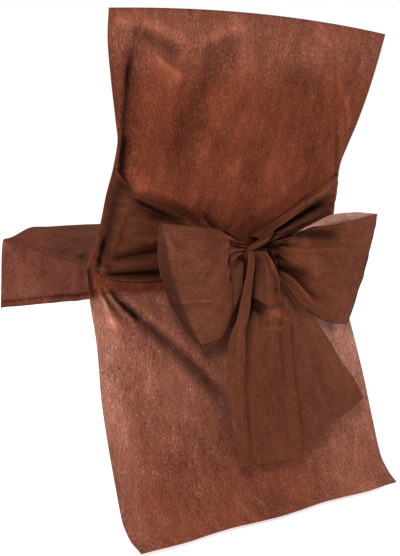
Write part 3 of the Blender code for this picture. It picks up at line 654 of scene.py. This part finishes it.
def sheet(name, points, layers_and_shade, shade, material, closed=False):
    """Makes a grid of points one sheet of fabric, with its UV map in metres of cloth."""
    rows, columns = points.shape[:2]
    place = (points - RAIL).reshape(-1, 3)
    index = np.arange(rows * columns).reshape(rows, columns)
    corners = [index[:-1, :-1], index[:-1, 1:], index[1:, 1:], index[1:, :-1]]
    faces = np.stack(corners, -1).reshape(-1, 4)
    mesh = bpy.data.meshes.new(name)
    mesh.vertices.add(len(place))
    mesh.vertices.foreach_set("co", place.ravel())
    mesh.loops.add(faces.size)
    mesh.loops.foreach_set("vertex_index", faces.ravel())
    mesh.polygons.add(len(faces))
    mesh.polygons.foreach_set("loop_start", np.arange(0, faces.size, 4))
    mesh.update(calc_edges=True)
    mesh.validate()
    width = np.linalg.norm(np.diff(points, axis=1), axis=-1).sum(1).max()
    drop = np.linalg.norm(np.diff(points, axis=0), axis=-1).mean(1)
    u = np.linspace(0, width, columns)[None, :] + np.zeros((rows, 1))
    v = np.concatenate([[0], np.cumsum(drop)])[:, None] + np.zeros((1, columns))
    lay = mesh.uv_layers.new(name="cloth")
    lay.data.foreach_set("uv", np.stack([u, v], -1).reshape(-1, 2)[faces.ravel()].ravel())
    # These attributes carry the layering and the painted shade into the finish; bend paints a highlight on
    # ridges.
    for attribute, values in (("layers_and_shade", layers_and_shade), ("shade", shade), ("bend", painted_ridge_light(points))):
        made = mesh.attributes.new(attribute, "FLOAT", "POINT")
        made.data.foreach_set("value", np.ascontiguousarray(values, np.float32).ravel())
    mesh.shade_smooth()
    cloth = bpy.data.objects.new(name, mesh)
    bpy.context.scene.collection.objects.link(cloth)
    thick = cloth.modifiers.new("fabric thickness", "SOLIDIFY")
    thick.thickness = CLOTH
    thick.offset = 0
    mesh.materials.append(material)
    return cloth


# Stitches


def stitch_tree(thread):
    """Sews short stitches along a line: the line is resampled, and each point gets one stitch."""
    tree = bpy.data.node_groups.new("row of stitches", "GeometryNodeTree")
    face = tree.interface
    face.new_socket("Line", in_out="INPUT", socket_type="NodeSocketGeometry")
    for name, value in (("Spacing", 0.003), ("Length", 0.002), ("Thickness", 0.0004), ("Unevenness", 0.12)):
        face.new_socket(name, in_out="INPUT", socket_type="NodeSocketFloat").default_value = value
    face.new_socket("Seed", in_out="INPUT", socket_type="NodeSocketInt").default_value = 4
    face.new_socket("Stitches", in_out="OUTPUT", socket_type="NodeSocketGeometry")
    inlet = new_node(tree, "NodeGroupInput", (-900, 0))
    outlet = new_node(tree, "NodeGroupOutput", (900, 0))
    curve = new_node(tree, "GeometryNodeMeshToCurve", (-640, 120))
    evenly = new_node(tree, "GeometryNodeResampleCurve", (-440, 120), mode="LENGTH")
    tangent = new_node(tree, "GeometryNodeInputTangent", (-640, -120))
    turned = new_node(tree, "FunctionNodeAlignRotationToVector", (-440, -120), axis="X")
    one = new_node(tree, "GeometryNodeMeshUVSphere", (-440, -320))
    fill(one, Segments=6, Rings=4, Radius=0.5)
    size = new_node(tree, "ShaderNodeCombineXYZ", (-440, -520))
    spread = new_node(tree, "FunctionNodeRandomValue", (-240, -720), data_type="FLOAT")
    sew = new_node(tree, "GeometryNodeInstanceOnPoints", (0, 120))
    vary = new_node(tree, "ShaderNodeVectorMath", (-40, -420), operation="SCALE")
    real = new_node(tree, "GeometryNodeRealizeInstances", (240, 120))
    dye = new_node(tree, "GeometryNodeSetMaterial", (460, 120))
    dye.inputs["Material"].default_value = thread
    link = tree.links.new
    link(inlet.outputs["Line"], curve.inputs["Mesh"])
    link(curve.outputs["Curve"], evenly.inputs["Curve"])
    link(inlet.outputs["Spacing"], evenly.inputs["Length"])
    link(tangent.outputs["Tangent"], turned.inputs["Vector"])
    for axis, name in (("X", "Length"), ("Y", "Thickness"), ("Z", "Thickness")):
        link(inlet.outputs[name], size.inputs[axis])
    numbers = [socket for socket in spread.inputs if socket.type == "VALUE"]
    link(maths(tree, "SUBTRACT", 1.0, inlet.outputs["Unevenness"], (-440, -700)), numbers[0])
    link(maths(tree, "ADD", 1.0, inlet.outputs["Unevenness"], (-440, -860)), numbers[1])
    link(inlet.outputs["Seed"], spread.inputs["Seed"])
    link(size.outputs["Vector"], vary.inputs[0])
    link([socket for socket in spread.outputs if socket.type == "VALUE"][0], vary.inputs["Scale"])
    link(evenly.outputs["Curve"], sew.inputs["Points"])
    link(one.outputs["Mesh"], sew.inputs["Instance"])
    link(turned.outputs["Rotation"], sew.inputs["Rotation"])
    link(vary.outputs[0], sew.inputs["Scale"])
    link(sew.outputs["Instances"], real.inputs["Geometry"])
    link(real.outputs["Geometry"], dye.inputs["Geometry"])
    link(dye.outputs["Geometry"], outlet.inputs["Stitches"])
    return tree


def sew(name, tree, lines, seed):
    """Makes the stitches of one piece along its lines of points."""
    mesh = bpy.data.meshes.new(name)
    points = [tuple(point) for line in lines for point in line]
    edges, first = [], 0
    for line in lines:
        edges += [(first + i, first + i + 1) for i in range(len(line) - 1)]
        first += len(line)
    mesh.from_pydata(points, edges, [])
    row = bpy.data.objects.new(name, mesh)
    bpy.context.scene.collection.objects.link(row)
    made = row.modifiers.new("stitches", "NODES")
    made.node_group = tree
    sockets = {item.name: item.identifier for item in tree.interface.items_tree if item.in_out == "INPUT"}
    made[sockets["Seed"]] = seed
    bpy.context.view_layer.update()
    sewn = bpy.data.meshes.new_from_object(row.evaluated_get(bpy.context.evaluated_depsgraph_get()))
    sewn.name = name
    row.modifiers.clear()
    row.data = sewn
    return row


def seam_lines(points, outward, lines):
    """Lines on the outer face of a sheet: each follows a row or a column at a distance from one edge."""
    out = normals(points)
    out = out * np.sign((out * np.asarray(outward)).sum(-1, keepdims=True))
    face = points + out * (CLOTH / 2 + STITCH_RISE)
    found = []
    for axis, edge, inset, first, last in lines:
        grid = face if axis == "row" else face.swapaxes(0, 1)
        grid = grid if edge == "start" else grid[::-1]
        reach = np.concatenate([[0], np.cumsum(np.linalg.norm(np.diff(grid, axis=0), axis=-1).mean(1))])
        i = int(np.searchsorted(reach, inset))
        t = (inset - reach[i - 1]) / (reach[i] - reach[i - 1])
        line = mix(grid[i - 1], grid[i], t)
        found.append(line[int(first * len(line)) : max(2, int(last * len(line)))] - RAIL)
    return found


# Finishes


def new_node(tree, kind, place, **settings):
    node = tree.nodes.new(kind)
    node.location = place
    for name, value in settings.items():
        setattr(node, name, value)
    return node


def fill(node, **values):
    for name, value in values.items():
        node.inputs[name.replace("_", " ")].default_value = value
    return node


def maths(tree, operation, a, b=0.0, place=(0, 0)):
    node = new_node(tree, "ShaderNodeMath", place, operation=operation)
    for socket, value in zip(node.inputs, (a, b)):
        if isinstance(value, bpy.types.NodeSocket):
            tree.links.new(value, socket)
        else:
            socket.default_value = value
    return node.outputs[0]


def web_group():
    """The fabric's own unevenness: drawn-out fibres, cloudy thickness, thin spots and a pressed grain."""
    tree = bpy.data.node_groups.new("web of fibres", "ShaderNodeTree")
    face = tree.interface
    face.new_socket("Cloth", in_out="INPUT", socket_type="NodeSocketVector")
    for name, value in (("Fibre Width", 0.0026), ("Draw", 6.0), ("Cloud Size", 0.018), ("Thin Spots", 0.5)):
        face.new_socket(name, in_out="INPUT", socket_type="NodeSocketFloat").default_value = value
    for name in ("Tone", "Thin", "Height"):
        face.new_socket(name, in_out="OUTPUT", socket_type="NodeSocketFloat")
    inlet = new_node(tree, "NodeGroupInput", (-1100, 0))
    outlet = new_node(tree, "NodeGroupOutput", (900, 0))

    def noise(size, stretch, detail, rough, place):
        """Noise of a size in metres, drawn out along the cloth."""
        squeeze = new_node(tree, "ShaderNodeCombineXYZ", (place[0] - 360, place[1]))
        per_metre = maths(tree, "DIVIDE", 1.0, size, (place[0] - 540, place[1]))
        lengthwise = maths(tree, "DIVIDE", per_metre, stretch, (place[0] - 540, place[1] - 160))
        tree.links.new(per_metre, squeeze.inputs["X"])
        tree.links.new(lengthwise, squeeze.inputs["Y"])
        scaled = new_node(tree, "ShaderNodeVectorMath", (place[0] - 180, place[1]), operation="MULTIPLY")
        tree.links.new(inlet.outputs["Cloth"], scaled.inputs[0])
        tree.links.new(squeeze.outputs["Vector"], scaled.inputs[1])
        made = fill(new_node(tree, "ShaderNodeTexNoise", place), Scale=1.0, Detail=detail, Roughness=rough)
        tree.links.new(scaled.outputs[0], made.inputs["Vector"])
        return made.outputs["Fac"]

    width, draw = inlet.outputs["Fibre Width"], inlet.outputs["Draw"]
    streaks = noise(width, draw, 3.0, 0.55, (-200, 420))
    mottle = noise(maths(tree, "MULTIPLY", width, 1.1, (-900, 200)), 1.7, 2.0, 0.5, (-200, 180))
    clouds = noise(inlet.outputs["Cloud Size"], 2.2, 2.0, 0.5, (-200, -60))
    fine = noise(maths(tree, "MULTIPLY", width, 0.22, (-900, -300)), 5.0, 1.0, 0.5, (-200, -300))
    patch_size = maths(tree, "MULTIPLY", inlet.outputs["Cloud Size"], 5.0, (-900, 700))
    patches = noise(patch_size, 1.8, 1.0, 0.5, (-200, 660))
    tone = maths(tree, "MULTIPLY", streaks, 0.26, (20, 420))
    shares = ((mottle, 0.28, 180), (clouds, 0.14, -60), (fine, 0.12, -300), (patches, 0.20, 660))
    for source, share, y in shares:
        tone = maths(tree, "ADD", tone, maths(tree, "MULTIPLY", source, share, (20, y)), (200, y))
    tree.links.new(tone, outlet.inputs["Tone"])
    small_spots = maths(tree, "MULTIPLY", mottle, 0.6, (200, -480))
    large_spots = maths(tree, "MULTIPLY", clouds, 0.4, (200, -640))
    spots = maths(tree, "ADD", small_spots, large_spots, (380, -540))
    reach = maths(tree, "MULTIPLY", inlet.outputs["Thin Spots"], 0.12, (200, -800))
    start = maths(tree, "SUBTRACT", 0.66, reach, (380, -760))
    thin = new_node(tree, "ShaderNodeMapRange", (560, -560), interpolation_type="SMOOTHSTEP")
    tree.links.new(spots, thin.inputs["Value"])
    tree.links.new(start, thin.inputs["From Min"])
    tree.links.new(maths(tree, "ADD", start, 0.14, (540, -820)), thin.inputs["From Max"])
    tree.links.new(thin.outputs["Result"], outlet.inputs["Thin"])
    grain = maths(tree, "MULTIPLY", fine, 0.6, (560, -200))
    drawn = maths(tree, "MULTIPLY", streaks, 0.4, (560, 0))
    height = maths(tree, "ADD", grain, drawn, (720, -120))
    tree.links.new(height, outlet.inputs["Height"])
    return tree


def cloth_finish(name, web, lone, double, thin_spots, see_through, contrast, rough=0.82):
    """A sheer dyed fabric: lone is its colour in one layer, double where more cloth lies behind it or where
    shade is painted.
    """
    material = bpy.data.materials.new(name)
    material.use_nodes = True
    tree = material.node_tree
    shader = tree.nodes["Principled BSDF"]
    shader.location = (900, 0)
    tree.nodes["Material Output"].location = (1200, 0)
    lay = new_node(tree, "ShaderNodeUVMap", (-1200, 0), uv_map="cloth")
    fibres = new_node(tree, "ShaderNodeGroup", (-1000, 0), node_tree=web)
    tree.links.new(lay.outputs["UV"], fibres.inputs["Cloth"])
    fibres.inputs["Thin Spots"].default_value = thin_spots
    found = {}
    for i, attribute in enumerate(("layers_and_shade", "shade", "bend")):
        node = new_node(tree, "ShaderNodeAttribute", (-1000, -260 - 180 * i), attribute_name=attribute)
        found[attribute] = node.outputs["Fac"]
    layers = new_node(tree, "ShaderNodeMix", (-700, 200), data_type="RGBA")
    tree.links.new(found["layers_and_shade"], layers.inputs["Factor"])
    colour_in = [s for s in layers.inputs if s.type == "RGBA"]
    colour_in[0].default_value, colour_in[1].default_value = (*lone, 1), (*double, 1)
    layered = [s for s in layers.outputs if s.type == "RGBA"][0]
    tone = new_node(tree, "ShaderNodeMapRange", (-700, -60))
    tree.links.new(fibres.outputs["Tone"], tone.inputs["Value"])
    fill(tone, From_Min=0.38, From_Max=0.62, To_Min=1 - contrast, To_Max=1 + contrast)
    # Painted shade from the folds' shade attribute and painted highlight on ridges from bend.
    dark = maths(tree, "MULTIPLY", found["shade"], 0.9, (-700, -320))
    light = maths(tree, "MULTIPLY", found["bend"], 0.25, (-700, -480))
    painted_fold_light = maths(tree, "SUBTRACT", 1.0, dark, (-520, -320))
    painted_fold_light = maths(tree, "ADD", painted_fold_light, light, (-340, -380))
    painted_fold_light = maths(tree, "MAXIMUM", painted_fold_light, LEAST_TONE, (-180, -380))
    strength = maths(tree, "MULTIPLY", tone.outputs["Result"], painted_fold_light, (-20, -200))
    dyed = new_node(tree, "ShaderNodeVectorMath", (180, 120), operation="SCALE")
    tree.links.new(layered, dyed.inputs[0])
    tree.links.new(strength, dyed.inputs["Scale"])
    worn = new_node(tree, "ShaderNodeMix", (380, 160), data_type="RGBA")
    worn_in = [s for s in worn.inputs if s.type == "RGBA"]
    tree.links.new(dyed.outputs[0], worn_in[0])
    worn_in[1].default_value = WORN_COLOUR
    free = maths(tree, "SUBTRACT", 1.0, found["layers_and_shade"], (-180, -560))
    bare = maths(tree, "ADD", maths(tree, "MULTIPLY", free, 0.72, (-20, -520)), 0.04, (120, -520))
    tree.links.new(maths(tree, "MULTIPLY", fibres.outputs["Thin"], bare, (260, -480)), worn.inputs["Factor"])
    tree.links.new([s for s in worn.outputs if s.type == "RGBA"][0], shader.inputs["Base Color"])
    openness = maths(tree, "POWER", free, 3.0, (200, -640))
    open_weave = maths(tree, "MULTIPLY", see_through, openness, (380, -600))
    tree.links.new(maths(tree, "SUBTRACT", 1.0, open_weave, (560, -600)), shader.inputs["Alpha"])
    roughness = new_node(tree, "ShaderNodeMapRange", (560, -300))
    tree.links.new(fibres.outputs["Tone"], roughness.inputs["Value"])
    fill(roughness, From_Min=0.35, From_Max=0.65, To_Min=rough + 0.08, To_Max=rough - 0.08)
    tree.links.new(roughness.outputs["Result"], shader.inputs["Roughness"])
    bump = new_node(tree, "ShaderNodeBump", (640, -780))
    fill(bump, Strength=0.35, Distance=0.0006)
    tree.links.new(fibres.outputs["Height"], bump.inputs["Height"])
    tree.links.new(bump.outputs["Normal"], shader.inputs["Normal"])
    shader.inputs["Specular IOR Level"].default_value = 0.05
    return material


def thread_finish():
    """Twisted polyester thread in the cover's brown."""
    material = bpy.data.materials.new("sewing thread")
    material.use_nodes = True
    tree = material.node_tree
    shader = tree.nodes["Principled BSDF"]
    place = new_node(tree, "ShaderNodeTexCoord", (-900, 0))
    twist = new_node(tree, "ShaderNodeTexWave", (-700, -200), wave_type="BANDS", bands_direction="DIAGONAL")
    fill(twist, Scale=900.0, Distortion=1.0)
    shift = fill(new_node(tree, "ShaderNodeTexNoise", (-700, 120)), Scale=260.0, Detail=2.0)
    colour = new_node(tree, "ShaderNodeValToRGB", (-480, 120))
    colour.color_ramp.elements[0].color = (0.040, 0.011, 0.005, 1)
    colour.color_ramp.elements[1].color = (0.085, 0.024, 0.011, 1)
    bump = fill(new_node(tree, "ShaderNodeBump", (-260, -240)), Strength=0.4, Distance=0.0001)
    tree.links.new(place.outputs["Object"], twist.inputs["Vector"])
    tree.links.new(place.outputs["Object"], shift.inputs["Vector"])
    tree.links.new(shift.outputs["Fac"], colour.inputs["Fac"])
    tree.links.new(colour.outputs["Color"], shader.inputs["Base Color"])
    tree.links.new(twist.outputs["Fac"], bump.inputs["Height"])
    tree.links.new(bump.outputs["Normal"], shader.inputs["Normal"])
    shader.inputs["Roughness"].default_value = 0.6
    return material


# Camera, floor and light


def set_the_stage():
    scene = bpy.context.scene
    view = Vector((math.sin(HEADING) * math.cos(DIP), -math.cos(HEADING) * math.cos(DIP), -math.sin(DIP)))
    camera = bpy.data.objects.new("camera", bpy.data.cameras.new("camera"))
    camera.location = EYE
    camera.rotation_euler = view.to_track_quat("-Z", "Y").to_euler()
    camera.data.lens, camera.data.sensor_width = LENS, SENSOR
    scene.collection.objects.link(camera)
    scene.camera = camera
    scene.view_settings.view_transform = "Standard"

    bpy.ops.mesh.primitive_circle_add(vertices=64, radius=14, fill_type="NGON")
    floor = bpy.context.object
    floor.name = "floor"
    floor.data.transform(floor.matrix_world)
    floor.location = (0, 0, -RAIL[2])
    paper = bpy.data.materials.new("pale floor")
    paper.use_nodes = True
    pale = paper.node_tree.nodes["Principled BSDF"].inputs
    pale["Base Color"].default_value = (0.92, 0.92, 0.92, 1)
    pale["Emission Color"].default_value = (1, 1, 1, 1)
    pale["Emission Strength"].default_value = 0.55
    pale["Roughness"].default_value = 1.0
    floor.data.materials.append(paper)

    world = bpy.data.worlds.new("soft daylight")
    scene.world = world
    world.use_nodes = True
    nodes, links = world.node_tree.nodes, world.node_tree.links
    soft = nodes["Background"]
    soft.inputs["Color"].default_value = (1, 1, 1, 1)
    soft.inputs["Strength"].default_value = 0.6
    plain = nodes.new("ShaderNodeBackground")
    plain.inputs["Color"].default_value = (1, 1, 1, 1)
    plain.inputs["Strength"].default_value = 1.0
    seen = nodes.new("ShaderNodeLightPath")
    both = nodes.new("ShaderNodeMixShader")
    links.new(seen.outputs["Is Camera Ray"], both.inputs["Fac"])
    links.new(soft.outputs[0], both.inputs[1])
    links.new(plain.outputs[0], both.inputs[2])
    links.new(both.outputs[0], nodes["World Output"].inputs["Surface"])

    lamps = (
        ("key light", (2.0, 1.9, 1.7), 1.0, 52),
        ("fill light", (-2.2, 1.8, 0.8), 1.8, 14),
        ("front light", (0.6, -2.6, 1.6), 1.8, 20),
    )
    for name, place, size, power in lamps:
        lamp = bpy.data.objects.new(name, bpy.data.lights.new(name, "AREA"))
        lamp.data.shape, lamp.data.size, lamp.data.energy = "DISK", size, power
        lamp.location = place
        lamp.rotation_euler = (Vector((0, 0, -0.35)) - Vector(place)).to_track_quat("-Z", "Y").to_euler()
        scene.collection.objects.link(lamp)


set_the_stage()

web = web_group()
FABRICS = {
    "panel_cloth": cloth_finish(
        "panel fabric",
        web,
        lone=(0.37, 0.145, 0.098),
        double=(0.128, 0.0285, 0.0120),
        thin_spots=0.8,
        see_through=0.17,
        contrast=0.62,
    ),
    "sash_cloth": cloth_finish(
        "sash fabric",
        web,
        lone=(0.40, 0.190, 0.140),
        double=(0.100, 0.0262, 0.0112),
        thin_spots=0.3,
        see_through=0.20,
        contrast=0.46,
    ),
}

# flat is a piece's width and length, or length and width on the sash and loops. The knot's is that of
# its rolled strip alone: a sewn sash gathers a wider band there.
Piece = namedtuple("Piece", "node grid flat held rests_on")
PIECES = {
    "panel_cloth": [
        Piece("front_panel", front_panel(), (0.53, 1.01), "draped", "back_panel"),
        Piece("back_panel", back_panel(), (0.545, 0.88), "hung", "front_panel"),
    ],
    "sash_cloth": [
        Piece("sash_left", sash(SASH_LEFT, SASH_LEFT_FOLDS, 31), (0.26, 0.16), "gathered", "back_panel"),
        Piece("sash_right", sash(SASH_RIGHT, SASH_RIGHT_FOLDS, 37), (0.21, 0.16), "gathered", "back_panel"),
        Piece("loop_left", bow_loop(LOOP_LEFT, LOOP_LEFT_FOLDS, 41), (0.42, 0.2), "gathered", "knot"),
        Piece("loop_right", bow_loop(LOOP_RIGHT, LOOP_RIGHT_FOLDS, 43), (0.44, 0.2), "gathered", "knot"),
        Piece(
            "tail_front",
            tail(TAIL_FRONT, TAIL_FRONT_FOLDS, 47, BACKED, FRONT_GATHER),
            (0.14, 0.36),
            "gathered",
            "knot",
        ),
        Piece(
            "tail_back",
            tail(TAIL_BACK, TAIL_BACK_FOLDS, 53, 0.94, BACK_GATHER),
            (0.17, 0.36),
            "gathered",
            "knot",
        ),
        Piece("knot", knot_points(), (0.09, 0.04), "gathered", "loop_left"),
    ],
}
# The rows of stitches: along a row or a column, from which edge, how far in, and over which share of it.
ROWS = {
    "back_panel": (
        (0, 1, 0),
        [
            ("row", "start", 0.005, 0.0, 1.0),
            ("row", "end", 0.015, 0.0, 1.0),
            ("column", "start", 0.004, 0.01, WAIST_SHARE),
            ("column", "end", 0.004, 0.01, WAIST_SHARE),
            ("column", "start", 0.006, WAIST_SHARE, 0.97),
            ("column", "end", 0.006, WAIST_SHARE, 0.97),
        ],
    ),
    "front_panel": (
        (0, -1, 0.2),
        [
            ("row", "start", 0.005, 0.0, 1.0),
            ("row", "end", 0.015, 0.0, 1.0),
        ],
    ),
}
stitching = stitch_tree(thread_finish())
for slot, pieces in PIECES.items():
    for number, piece in enumerate(pieces):
        cloth = sheet(piece.node + "_cloth", *piece.grid, FABRICS[slot])
        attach(cloth, "root")
        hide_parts(piece.node)
        sewn = []
        if piece.node in ROWS:
            lines = seam_lines(piece.grid[0], *ROWS[piece.node])
            sewn = [sew(piece.node + "_stitches", stitching, lines, STITCH_SEED + number)]
            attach(sewn[0], "root")
